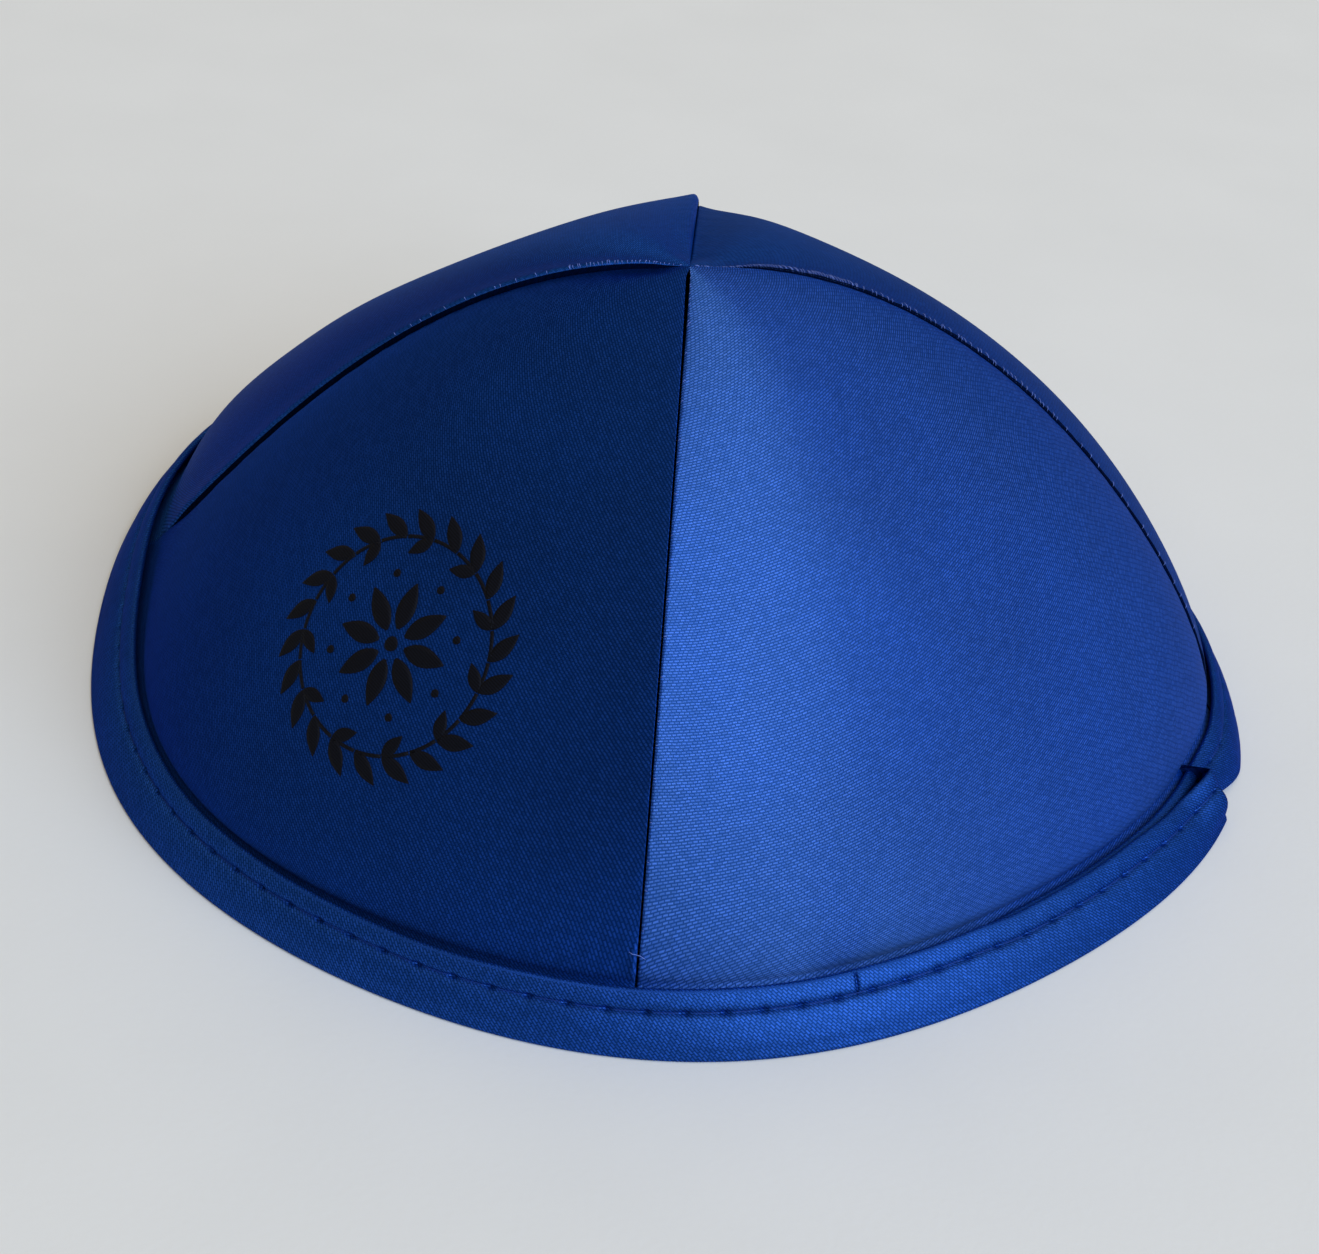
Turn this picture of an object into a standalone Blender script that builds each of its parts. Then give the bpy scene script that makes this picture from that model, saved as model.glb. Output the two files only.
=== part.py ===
"""A satin skullcap: four crown panels sewn into a dome, and a folded tape that binds the rim.

Metres, +Z up. The origin is the middle of the footprint, on the surface that the cap stands on,
and the front seam points to -Y. Azimuths are in degrees, counter-clockwise from +X.
"""

import math

import bmesh
import bpy
import numpy as np

# Whole cap
RIM_RADIUS = 0.088        # mean radius of the tape's folded edge
CROWN_HEIGHT = 0.0697     # where the four seams meet
APEX_FORWARD = 0.0140     # the meeting point stands this far towards the front seam
TAPE_RUN = 0.0060         # the tape leans in by this much on average ...
TAPE_RISE = 0.0078        # ... over this height

# Cloth
PANEL_WALL = 0.0012
TAPE_WALL = 0.0010
SEAM_GAP = 0.0003         # between two panels, and between the two layers of the lapped tape
SLOT_GAP = 0.0004         # between a panel's foot and the tape on both its sides
LEG_DROP = 0.0005         # the tape's outer leg ends this far below the bend of the panels
FOLD_ROUND = 0.0006       # rounding of the folded edge
BACK_STEP = 0.0012        # the back left panel stands this much above its neighbour
TIP_DISTANCE = 0.0006     # each panel starts this far from the meeting point

# Lapped ends of the tape
LAP_START = -68.0         # azimuth where the under end lies
LAP_END = -21.0           # azimuth where the outer end stops
LAP_EASE = 8.0            # degrees over which a layer moves past the other
LAP_REVEAL = 0.0012       # the under layer's upper edge shows this much above the outer one
END_FLARE = 0.0010        # the outer end stands off by this much ...
FLARE_LENGTH = 5.0        # ... over these last degrees

# How fast a local form fades: powers of the share of the way
TUCK_FADE = 6             # the bend into the slot fades quickly up the panel
STEP_FADE = 4             # the raised edge fades quickly across the panel

# Rounding of the fold: height and inset of its points, as shares of FOLD_ROUND
FOLD_SIDE = (0.3, 0.1)
FOLD_FOOT = (0.0, 0.8)

# Mesh density
PANEL_COLUMNS = 16
PANEL_ROWS = 16
TAPE_STEP = 3.6           # degrees between two sections of the tape

# Waves of the rim's outline, as shares of its radius, and of the tape's lean, as shares of its run
# waves around,  rim cos,  rim sin,  lean cos,  lean sin
OUTLINE_WAVES = (
    (2, -0.020, -0.014, -0.06, -0.03),
    (3, 0.005, -0.0035, -0.185, -0.22),
    (4, 0.0025, -0.0135, 0.09, -0.04),
    (5, 0.0105, -0.0035, 0.0, 0.0),
    (6, -0.003, -0.0025, 0.0, 0.0),
)

# Side views of the seams. Handles are shares of the rim's radius, slopes are degrees below level.
# azimuth at the apex,  at the foot,  upper handle,  upper slope,  lower handle,  lower slope
SEAMS = {
    "front": (-89.5, -89.0, 0.522, 5.0, 0.335, 83.0),
    "right": (12.0, -9.5, 0.534, -2.0, 0.069, 89.5),
    "back": (89.5, 89.5, 0.682, 10.0, 0.341, 90.0),
    "left": (195.0, 176.5, 0.389, -4.5, 0.416, 50.0),
}

# Side views of the middle of each panel, between the seam before it and the seam after it.
# The raised edge is the share of BACK_STEP that a panel has at its first seam.
# name,  seam before,  after,  upper handle,  upper slope,  lower handle,  lower slope,  raised edge
PANELS = (
    ("panel_front_right", "front", "right", 0.437, -3.8, 0.059, 100.0, 0.0),
    ("panel_back_right", "right", "back", 0.548, 1.5, 0.050, 88.0, 0.0),
    ("panel_back_left", "back", "left", 0.328, -9.0, 0.069, 112.0, 1.0),
    ("panel_front_left", "left", "front", 0.437, -3.8, 0.059, 100.0, 0.0),
)

# sRGB colours: red, green, blue
SATIN_BLUE = (0.11, 0.25, 0.60)
TAPE_BLUE = (0.13, 0.29, 0.64)


def clear_scene():
    for thing in list(bpy.data.objects):
        bpy.data.objects.remove(thing, do_unlink=True)


def smooth_step(value):
    value = min(max(value, 0.0), 1.0)
    return value * value * (3.0 - 2.0 * value)


def wave(azimuth, first_column):
    """Sum of the waves at an azimuth, from two columns of OUTLINE_WAVES."""
    angle = math.radians(azimuth)
    return sum(row[first_column] * math.cos(row[0] * angle) + row[first_column + 1] * math.sin(row[0] * angle)
               for row in OUTLINE_WAVES)


def rim_radius(azimuth):
    return RIM_RADIUS * (1.0 + wave(azimuth, 1))


def tape_run(azimuth):
    return TAPE_RUN * (1.0 + wave(azimuth, 3))


def top_radius(azimuth):
    """Radius of the tape's upper edge."""
    return rim_radius(azimuth) - tape_run(azimuth)


def radial(azimuth):
    angle = math.radians(azimuth)
    return np.array((math.cos(angle), math.sin(angle), 0.0))


def lap_cover(azimuth):
    """Share of the tape's second layer that lies over the first one: 1 along the lap, 0 elsewhere."""
    travel = (azimuth - LAP_START) % 360.0
    arriving = smooth_step((travel - 360.0 + LAP_EASE) / LAP_EASE)
    leaving = 1.0 - smooth_step((travel - (LAP_END - LAP_START)) / LAP_EASE)
    return max(arriving, leaving)


def layer_shift(azimuth):
    return lap_cover(azimuth) * (TAPE_WALL + SEAM_GAP)


def tape_frame(azimuth):
    """The tape's upper outer edge, and the slope's down and outward directions."""
    outward = radial(azimuth)
    upright = np.array((0.0, 0.0, 1.0))
    run = tape_run(azimuth)
    slant = math.hypot(run, TAPE_RISE)
    top = outward * top_radius(azimuth) + upright * TAPE_RISE
    down = (outward * run - upright * TAPE_RISE) / slant
    normal = (outward * TAPE_RISE + upright * run) / slant
    return top, down, normal


def tuck_depth(azimuth):
    """How far behind the tape's outer face the panels bend into the slot."""
    return TAPE_WALL + SLOT_GAP + layer_shift(azimuth)


def side_point(handles, s):
    """Radius and height of a side view, from the apex at 0 to the tape's upper edge at 1."""
    upper, upper_slope, lower, lower_slope = handles
    upper_angle = math.radians(upper_slope)
    lower_angle = math.radians(lower_slope)
    start = np.array((0.0, CROWN_HEIGHT))
    end = np.array((RIM_RADIUS - TAPE_RUN, TAPE_RISE))
    near_start = start + RIM_RADIUS * upper * np.array((math.cos(upper_angle), -math.sin(upper_angle)))
    near_end = end + RIM_RADIUS * lower * np.array((-math.cos(lower_angle), math.sin(lower_angle)))
    rest = 1.0 - s
    return rest**3 * start + 3.0 * rest**2 * s * near_start + 3.0 * rest * s**2 * near_end + s**3 * end


def panel_azimuths(panel, across):
    """Azimuths, at the apex and at the foot, of a line that runs down a panel."""
    start, end = SEAMS[panel[1]], SEAMS[panel[2]]
    turn = 360.0 if end[0] < start[0] else 0.0
    return (start[0] + (end[0] + turn - start[0]) * across,
            start[1] + (end[1] + turn - start[1]) * across)


def panel_point(panel, across, s):
    """Outer point of a panel: across runs between its seams, s from the apex to its bend."""
    apex_azimuth, foot_azimuth = panel_azimuths(panel, across)
    azimuth = apex_azimuth * (1.0 - s) + foot_azimuth * s
    puff = math.sin(math.pi * across)
    before = side_point(SEAMS[panel[1]][2:], s)
    after = side_point(SEAMS[panel[2]][2:], s)
    seam_view = before * (1.0 - across) + after * across
    radius, height = seam_view * (1.0 - puff) + side_point(panel[3:7], s) * puff
    shape = 1.0 + (top_radius(azimuth) / (RIM_RADIUS - TAPE_RUN) - 1.0) * s
    raised = panel[7] * BACK_STEP * math.sin(math.pi * s) * (1.0 - across) ** STEP_FADE
    shift = np.array((0.0, -APEX_FORWARD * (1.0 - s), height + raised))
    tuck = tape_frame(foot_azimuth)[2] * tuck_depth(foot_azimuth) * s**TUCK_FADE
    return radial(azimuth) * radius * shape + shift - tuck


def panel_foot(azimuth):
    """Outer point where a panel ends, in the slot of the folded tape and clear of its floor."""
    top, down, normal = tape_frame(azimuth)
    bend = top - normal * tuck_depth(azimuth)
    foot_height = 2.0 * TAPE_WALL + SEAM_GAP + SLOT_GAP + PANEL_WALL * normal[2]
    return bend + down * ((bend[2] - foot_height) / -down[2])


def panel_wall(panel):
    """Outer and inner grids of a panel: columns across it, rows from its tip to its foot."""
    tip = TIP_DISTANCE / (3.0 * RIM_RADIUS * panel[3])
    steps = [tip + (1.0 - tip) * row / (PANEL_ROWS - 1) for row in range(PANEL_ROWS)]
    margins = []
    for step in steps:
        width = np.linalg.norm(panel_point(panel, 1.0, step) - panel_point(panel, 0.0, step))
        margins.append(0.5 * SEAM_GAP / width)
    outer = []
    inner = []
    for column in range(PANEL_COLUMNS + 1):
        points = []
        azimuths = []
        for step, margin in zip(steps, margins):
            across = margin + (1.0 - 2.0 * margin) * column / PANEL_COLUMNS
            apex_azimuth, foot_azimuth = panel_azimuths(panel, across)
            points.append(panel_point(panel, across, step))
            azimuths.append(apex_azimuth * (1.0 - step) + foot_azimuth * step)
        points.append(panel_foot(azimuths[-1]))
        azimuths.append(azimuths[-1])
        outer.append(points)
        inner.append(offset_line(points, azimuths, -PANEL_WALL))
    return outer, inner


def offset_line(points, azimuths, distance):
    """The line moved sideways, in the upright plane of each point, by an even distance."""
    normals = []
    for index in range(len(points) - 1):
        along = points[index + 1] - points[index]
        outward = radial(azimuths[index])
        sideways = np.array((-outward[1], outward[0], 0.0))
        normal = np.cross(along, sideways)
        normals.append(normal / np.linalg.norm(normal))
    moved = []
    for index, point in enumerate(points):
        before = normals[max(index - 1, 0)]
        after = normals[min(index, len(normals) - 1)]
        middle = before + after
        middle = middle / np.linalg.norm(middle)
        moved.append(point + middle * distance / float(middle @ after))
    return moved


def closed_mesh(name, points, faces):
    mesh = bpy.data.meshes.new(name)
    shell = bmesh.new()
    corners = [shell.verts.new(tuple(point)) for point in points]
    for face in faces:
        shell.faces.new([corners[index] for index in face])
    bmesh.ops.recalc_face_normals(shell, faces=shell.faces)
    shell.to_mesh(mesh)
    shell.free()
    mesh.shade_smooth()
    mesh.set_sharp_from_angle(angle=math.radians(40.0))
    thing = bpy.data.objects.new(name, mesh)
    bpy.context.collection.objects.link(thing)
    return thing


def make_panel(panel):
    outer, inner = panel_wall(panel)
    columns = len(outer)
    rows = len(outer[0])
    points = [point for grid in (outer, inner) for column in grid for point in column]

    def at(layer, column, row):
        return (layer * columns + column) * rows + row

    faces = []
    for layer in (0, 1):
        for column in range(columns - 1):
            for row in range(rows - 1):
                faces.append((at(layer, column, row), at(layer, column + 1, row),
                              at(layer, column + 1, row + 1), at(layer, column, row + 1)))
    for column in range(columns - 1):
        for row in (0, rows - 1):
            faces.append((at(0, column, row), at(0, column + 1, row),
                          at(1, column + 1, row), at(1, column, row)))
    for row in range(rows - 1):
        for column in (0, columns - 1):
            faces.append((at(0, column, row), at(0, column, row + 1),
                          at(1, column, row + 1), at(1, column, row)))
    return closed_mesh(panel[0], points, faces)


def tape_section(azimuth, outer_layer, flare):
    """Section of the folded tape: outer leg, flat fold on the table and inner leg, as a closed loop."""
    top, down, normal = tape_frame(azimuth)
    bend = top - normal * tuck_depth(azimuth)
    outward = radial(azimuth)
    shift = layer_shift(azimuth) * outer_layer
    floor = layer_shift(azimuth) * (1.0 - outer_layer)
    drop = LEG_DROP + LAP_REVEAL * lap_cover(azimuth) * outer_layer
    outer_slot = SLOT_GAP + shift + flare
    outer_face = outer_slot + TAPE_WALL
    inner_slot = -PANEL_WALL - SLOT_GAP - shift
    inner_face = inner_slot - TAPE_WALL

    def at_height(offset, height):
        start = bend + normal * offset
        return start + down * ((start[2] - height) / -down[2])

    def rounded(offset, shares, side):
        height, inset = shares
        point = at_height(offset, floor) - outward * side * FOLD_ROUND * inset
        return point + np.array((0.0, 0.0, FOLD_ROUND * height))

    return [
        bend + normal * outer_slot + down * drop,
        bend + normal * outer_face + down * drop,
        at_height(outer_face, 0.5 * TAPE_RISE),
        at_height(outer_face, floor + FOLD_ROUND),
        rounded(outer_face, FOLD_SIDE, 1.0),
        rounded(outer_face, FOLD_FOOT, 1.0),
        rounded(inner_face, FOLD_FOOT, -1.0),
        rounded(inner_face, FOLD_SIDE, -1.0),
        at_height(inner_face, floor + FOLD_ROUND),
        at_height(inner_face, bend[2]),
        at_height(inner_slot, bend[2]),
        at_height(inner_slot, floor + TAPE_WALL),
        at_height(outer_slot, floor + TAPE_WALL),
    ]


def make_tape():
    """The tape runs once around the rim and past its own start, which lies inside it."""
    whole_turn = 360.0 + LAP_END - LAP_START
    steps = round(whole_turn / TAPE_STEP)
    sections = []
    for step in range(steps + 1):
        travel = whole_turn * step / steps
        outer_layer = 1.0 if travel > 0.5 * whole_turn else 0.0
        flare = END_FLARE * smooth_step((travel - whole_turn + FLARE_LENGTH) / FLARE_LENGTH)
        sections.append(tape_section(LAP_START + travel, outer_layer, flare))
    corners = len(sections[0])
    points = [point for section in sections for point in section]
    faces = []
    for step in range(steps):
        for corner in range(corners):
            following = (corner + 1) % corners
            faces.append((step * corners + corner, step * corners + following,
                          (step + 1) * corners + following, (step + 1) * corners + corner))
    faces.append(tuple(range(corners)))
    faces.append(tuple(steps * corners + corner for corner in range(corners)))
    return closed_mesh("rim_binding", points, faces)


def to_linear(channel):
    return channel / 12.92 if channel <= 0.04045 else ((channel + 0.055) / 1.055) ** 2.4


def cloth_material(name, colour, roughness):
    material = bpy.data.materials.new(name)
    material.use_nodes = True
    shader = material.node_tree.nodes["Principled BSDF"]
    shader.inputs["Base Color"].default_value = tuple(to_linear(c) for c in colour) + (1.0,)
    shader.inputs["Roughness"].default_value = roughness
    shader.inputs["Metallic"].default_value = 0.0
    return material


def centre_footprint(pieces):
    """Moves the whole cap so that the middle of its footprint is the origin."""
    corners = [corner.co for piece in pieces for corner in piece.data.vertices]
    middle = [0.5 * (min(co[axis] for co in corners) + max(co[axis] for co in corners)) for axis in (0, 1)]
    for piece in pieces:
        piece.location = (-middle[0], -middle[1], 0.0)


def main():
    clear_scene()
    pieces = []
    for panel in PANELS:
        piece = make_panel(panel)
        piece.data.materials.append(cloth_material(panel[0] + "_satin", SATIN_BLUE, 0.42))
        pieces.append(piece)
    tape = make_tape()
    tape.data.materials.append(cloth_material("rim_binding_satin", TAPE_BLUE, 0.45))
    pieces.append(tape)
    centre_footprint(pieces)


main()
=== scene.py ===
import math

import bpy
import numpy as np
from mathutils import Matrix, Vector
from mathutils.bvhtree import BVHTree


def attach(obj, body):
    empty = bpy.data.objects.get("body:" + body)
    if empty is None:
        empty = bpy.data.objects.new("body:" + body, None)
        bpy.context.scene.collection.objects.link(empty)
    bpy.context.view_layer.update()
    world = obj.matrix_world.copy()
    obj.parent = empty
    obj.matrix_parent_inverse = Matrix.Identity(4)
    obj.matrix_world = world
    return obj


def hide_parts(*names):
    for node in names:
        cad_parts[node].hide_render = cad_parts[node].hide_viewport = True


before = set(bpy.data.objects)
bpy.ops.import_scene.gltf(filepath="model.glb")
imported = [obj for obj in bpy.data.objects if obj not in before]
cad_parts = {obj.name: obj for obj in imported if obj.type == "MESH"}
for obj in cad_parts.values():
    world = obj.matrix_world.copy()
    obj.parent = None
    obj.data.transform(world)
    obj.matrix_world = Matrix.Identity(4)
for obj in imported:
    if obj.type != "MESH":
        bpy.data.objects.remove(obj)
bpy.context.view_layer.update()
print("frame loaded:", sorted(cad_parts))

mm = 0.001

# Camera, floor and light

camera = {
    "target": (-0.00111, 0.00258, 0.0),
    "distance": 0.3691,
    "elevation": 35.0,  # degrees above the table
    "roll": 5.2,  # the phone was held a little askew
    "lens": 65.5,  # mm on a 36 mm wide frame
}

studio = {
    "floor": ("#e9eae6", "#e2e3df"),
    "floorRadius": 4.0,
    "floorPatterns": ((30.0, 3.0), (900.0, 2.0)),  # scale per m and detail of its mottling and its grain
    "backdrop": ("#dcdcde", 0.75),
    # tint and strength of the room's own light: dim from the sides and the front, warm from above and behind
    "dimAir": ("#ecebe0", 0.15),
    "brightAir": ("#ffebcc", 0.69),
    "airFrom": (0.10, 0.38, 0.92),
    "window": {"azimuth": -41.0, "elevation": 40.0, "distance": 6.0, "size": 6.25, "power": 400.0,
               "colour": "#c6deff"},
}


def linear(text):
    # sRGB hex to linear red, green, blue and alpha
    channels = [int(text[i:i + 2], 16) / 255.0 for i in (1, 3, 5)]
    return tuple(c / 12.92 if c <= 0.04045 else ((c + 0.055) / 1.055) ** 2.4 for c in channels) + (1.0,)


def addNode(tree, kind, inputs=None, **settings):
    # A node with its settings and its inputs, each of them a value, a socket, or a node whose first output feeds it
    node = tree.nodes.new("ShaderNode" + kind)
    for name, value in settings.items():
        setattr(node, name, value)
    for socket, value in (inputs or {}).items():
        if isinstance(value, bpy.types.Node):
            value = next(output for output in value.outputs if output.enabled)
        if isinstance(value, bpy.types.NodeSocket):
            tree.links.new(value, node.inputs[socket])
        else:
            node.inputs[socket].default_value = value
    return node


def newMaterial(name):
    material = bpy.data.materials.new(name)
    material.use_nodes = True
    tree = material.node_tree
    tree.nodes.clear()
    return material, tree


def addThing(name, data):
    thing = bpy.data.objects.new(name, data)
    bpy.context.scene.collection.objects.link(thing)
    return thing


def direction(azimuth, elevation):
    a, e = math.radians(azimuth), math.radians(elevation)
    return Vector((math.cos(a) * math.cos(e), math.sin(a) * math.cos(e), math.sin(e)))


def makeCamera():
    data = bpy.data.cameras.new("camera")
    data.sensor_width = 36.0
    data.lens = camera["lens"]
    data.clip_start = 0.01
    thing = addThing("camera", data)
    tilt = math.radians(90.0 - camera["elevation"])
    turn = Matrix.Rotation(tilt, 4, "X") @ Matrix.Rotation(math.radians(camera["roll"]), 4, "Z")
    place = Vector(camera["target"]) + direction(-90.0, camera["elevation"]) * camera["distance"]
    thing.matrix_world = Matrix.Translation(place) @ turn
    bpy.context.scene.camera = thing


def makeLight():
    window = studio["window"]
    data = bpy.data.lights.new("window", "AREA")
    data.shape = "DISK"
    data.size = window["size"]
    data.energy = window["power"]
    data.color = linear(window["colour"])[:3]
    thing = addThing("window", data)
    toward = direction(window["azimuth"], window["elevation"])
    thing.location = toward * window["distance"]
    thing.rotation_euler = toward.to_track_quat("Z", "Y").to_euler()
    world = bpy.data.worlds.new("room")
    world.use_nodes = True
    bpy.context.scene.world = world
    tree = world.node_tree
    tree.nodes.clear()
    sky = addNode(tree, "TexCoord").outputs["Generated"]
    facing = addNode(tree, "VectorMath", {0: sky, 1: Vector(studio["airFrom"]).normalized()}, operation="DOT_PRODUCT")
    share = addNode(tree, "MapRange", {"From Min": 0.0, "From Max": 0.95, "Value": facing},
                    interpolation_type="SMOOTHSTEP")
    dim, bright, back = [addNode(tree, "Background", {"Color": linear(tint), "Strength": strength})
                         for tint, strength in (studio["dimAir"], studio["brightAir"], studio["backdrop"])]
    room = addNode(tree, "MixShader", {0: share, 1: dim, 2: bright})
    seen = addNode(tree, "LightPath").outputs["Is Camera Ray"]
    shown = addNode(tree, "MixShader", {0: seen, 1: room, 2: back})
    addNode(tree, "OutputWorld", {"Surface": shown})


def twoTones(tree, tones, toneBy, relief, reliefBy, finish):
    # Two tones mixed by one pattern and embossed by another: relief is its strength and its depth
    tone = addNode(tree, "Mix", {"A": linear(tones[0]), "B": linear(tones[1]), "Factor": toneBy}, data_type="RGBA")
    bump = addNode(tree, "Bump", {"Strength": relief[0], "Distance": relief[1], "Height": reliefBy})
    shader = addNode(tree, "BsdfPrincipled", {"Base Color": tone, "Normal": bump, **finish})
    addNode(tree, "OutputMaterial", {"Surface": shader})


def makeFloor():
    # Painted board: matt and almost white, with a faint mottling of 20 to 40 mm under a fine grain
    material, tree = newMaterial("paintedBoardMatt")
    place = addNode(tree, "TexCoord").outputs["Object"]
    mottle, grain = [addNode(tree, "TexNoise", {"Scale": scale, "Detail": detail, "Vector": place})
                     for scale, detail in studio["floorPatterns"]]
    twoTones(tree, studio["floor"], mottle, (0.15, 0.2 * mm), grain, {"Roughness": 0.75})
    steps = 96
    rim = [direction(360.0 * i / steps, 0.0) * studio["floorRadius"] for i in range(steps)]
    mesh = bpy.data.meshes.new("floor")
    mesh.from_pydata(rim, [], [tuple(range(steps))])
    mesh.materials.append(material)
    thing = addThing("floor", mesh)


bpy.context.scene.view_settings.view_transform = "Standard"
makeCamera()
makeLight()
makeFloor()
print("camera, light and floor made")

# The cap's shape, with the sizes of the solids. Metres and degrees, azimuths counter-clockwise from +X.

cap = {
    "rimRadius": 88.0 * mm,
    "crownHeight": 69.7 * mm,
    "apexForward": 14.0 * mm,
    "tapeRun": 6.0 * mm,
    "tapeRise": 7.8 * mm,
    "panelWall": 1.2 * mm,
    "tapeWall": 1.0 * mm,
    "seamGap": 0.3 * mm,
    "slotGap": 0.4 * mm,
    "legDrop": 0.5 * mm,
    "backStep": 1.2 * mm,
    "lapStart": -68.0,
    "lapEnd": -21.0,
    "lapEase": 8.0,
    "lapReveal": 1.2 * mm,
    "tuckFade": 6,
    "stepFade": 4,
    "middle": (1.4482 * mm, 0.0276 * mm),
    # waves around, rim cos, rim sin, lean cos, lean sin
    "outline": [
        (2, -0.020, -0.014, -0.06, -0.03),
        (3, 0.005, -0.0035, -0.185, -0.22),
        (4, 0.0025, -0.0135, 0.09, -0.04),
        (5, 0.0105, -0.0035, 0.0, 0.0),
        (6, -0.003, -0.0025, 0.0, 0.0),
    ],
    # azimuth at the apex, at the foot, upper handle, upper slope, lower handle, lower slope
    "seams": {
        "front": (-89.5, -89.0, 0.522, 5.0, 0.335, 83.0),
        "right": (12.0, -9.5, 0.534, -2.0, 0.069, 89.5),
        "back": (89.5, 89.5, 0.682, 10.0, 0.341, 90.0),
        "left": (195.0, 176.5, 0.389, -4.5, 0.416, 50.0),
    },
}


def smooth(value):
    value = np.clip(value, 0.0, 1.0)
    return value * value * (3.0 - 2.0 * value)


def unit(vectors):
    return vectors / np.maximum(np.linalg.norm(vectors, axis=-1, keepdims=True), 1e-12)


def wave(azimuth, column):
    angle = np.radians(azimuth)
    return sum(row[column] * np.cos(row[0] * angle) + row[column + 1] * np.sin(row[0] * angle)
               for row in cap["outline"])


def topRadius(azimuth):
    return cap["rimRadius"] * (1.0 + wave(azimuth, 1)) - cap["tapeRun"] * (1.0 + wave(azimuth, 3))


def radial(azimuth):
    angle = np.radians(azimuth)
    return np.stack([np.cos(angle), np.sin(angle), np.zeros_like(angle)], axis=-1)


def lapCover(azimuth):
    # 1 where the tape's second layer lies over the first, 0 elsewhere
    travel = (azimuth - cap["lapStart"]) % 360.0
    arriving = smooth((travel - 360.0 + cap["lapEase"]) / cap["lapEase"])
    leaving = 1.0 - smooth((travel - (cap["lapEnd"] - cap["lapStart"])) / cap["lapEase"])
    return np.maximum(arriving, leaving)


def layerShift(azimuth):
    return lapCover(azimuth) * (cap["tapeWall"] + cap["seamGap"])


def tuckDepth(azimuth):
    return cap["tapeWall"] + cap["slotGap"] + layerShift(azimuth)


def tapeFrame(azimuth):
    # The tape's upper outer edge, and its slope's down and outward directions
    outward = radial(azimuth)
    run = (cap["tapeRun"] * (1.0 + wave(azimuth, 3)))[..., None]
    rise = cap["tapeRise"]
    upright = np.array((0.0, 0.0, 1.0))
    slant = np.hypot(run, rise)
    top = outward * topRadius(azimuth)[..., None] + upright * rise
    return top, (outward * run - upright * rise) / slant, (outward * rise + upright * run) / slant


def sideView(handles, s):
    # Radius and height down a side view, from the apex at 0 to the tape's upper edge at 1
    upper, upperSlope, lower, lowerSlope = handles
    a, b = math.radians(upperSlope), math.radians(lowerSlope)
    size, end = cap["rimRadius"], cap["rimRadius"] - cap["tapeRun"]
    radii = (0.0, size * upper * math.cos(a), end - size * lower * math.cos(b), end)
    heights = (cap["crownHeight"], cap["crownHeight"] - size * upper * math.sin(a),
               cap["tapeRise"] + size * lower * math.sin(b), cap["tapeRise"])
    shares = ((1.0 - s) ** 3, 3.0 * (1.0 - s) ** 2 * s, 3.0 * (1.0 - s) * s ** 2, s ** 3)
    return sum(w * r for w, r in zip(shares, radii)), sum(w * h for w, h in zip(shares, heights))


def panelAzimuths(panel, across):
    start, end = cap["seams"][panel["before"]], cap["seams"][panel["after"]]
    turn = 360.0 if end[0] < start[0] else 0.0
    return start[0] + (end[0] + turn - start[0]) * across, start[1] + (end[1] + turn - start[1]) * across


def panelPoint(panel, across, s):
    # Outer face of a panel: across runs from seam to seam, s from the apex to the bend
    apexAzimuth, footAzimuth = panelAzimuths(panel, across)
    azimuth = apexAzimuth * (1.0 - s) + footAzimuth * s
    puff = np.sin(np.pi * across)
    views = [sideView(handles, s) for handles in
             (cap["seams"][panel["before"]][2:], cap["seams"][panel["after"]][2:], panel["side"])]
    radius, height = [(a * (1.0 - across) + b * across) * (1.0 - puff) + c * puff for a, b, c in zip(*views)]
    shape = 1.0 + (topRadius(azimuth) / (cap["rimRadius"] - cap["tapeRun"]) - 1.0) * s
    raised = panel["raised"] * cap["backStep"] * np.sin(np.pi * s) * (1.0 - across) ** cap["stepFade"]
    shift = np.stack([np.zeros_like(s), -cap["apexForward"] * (1.0 - s), height + raised], axis=-1)
    tuck = tapeFrame(footAzimuth)[2] * (tuckDepth(footAzimuth) * s ** cap["tuckFade"])[..., None]
    return radial(azimuth) * (radius * shape)[..., None] + shift - tuck


def panelFoot(azimuth):
    # Where a panel ends inside the folded tape
    top, down, normal = tapeFrame(azimuth)
    bend = top - normal * tuckDepth(azimuth)[..., None]
    height = 2.0 * cap["tapeWall"] + cap["seamGap"] + cap["slotGap"] + cap["panelWall"] * normal[..., 2]
    return bend + down * ((bend[..., 2] - height) / -down[..., 2])[..., None]


def bell(value, width):
    return np.exp(-(value / width) ** 2)


def runAlong(points, axis=0):
    # Distance along a line of points, from the first of them to each
    gaps = np.linalg.norm(np.diff(points, axis=axis), axis=-1)
    return np.insert(np.cumsum(gaps, axis=axis), 0, 0.0, axis=axis)


def makePiece(name, points, faces, uv, looks, slots=None):
    # A piece of the cap, with its map in metres and a material slot for each look
    mesh = bpy.data.meshes.new(name)
    mesh.from_pydata(points, [], faces)
    corners = np.zeros(len(mesh.loops), np.int32)
    mesh.loops.foreach_get("vertex_index", corners)
    layer = mesh.uv_layers.new(name="clothMap")
    layer.data.foreach_set("uv", uv[corners].astype(np.float32).ravel())
    for look in looks:
        mesh.materials.append(materials[look])
    mesh.shade_smooth()
    mesh.validate()
    mesh.update()
    if slots is not None:
        mesh.polygons.foreach_set("material_index", slots)
    mesh.transform(Matrix.Translation((-cap["middle"][0], -cap["middle"][1], 0.0)))
    thing = addThing(name, mesh)
    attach(thing, "root")
    return thing


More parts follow.
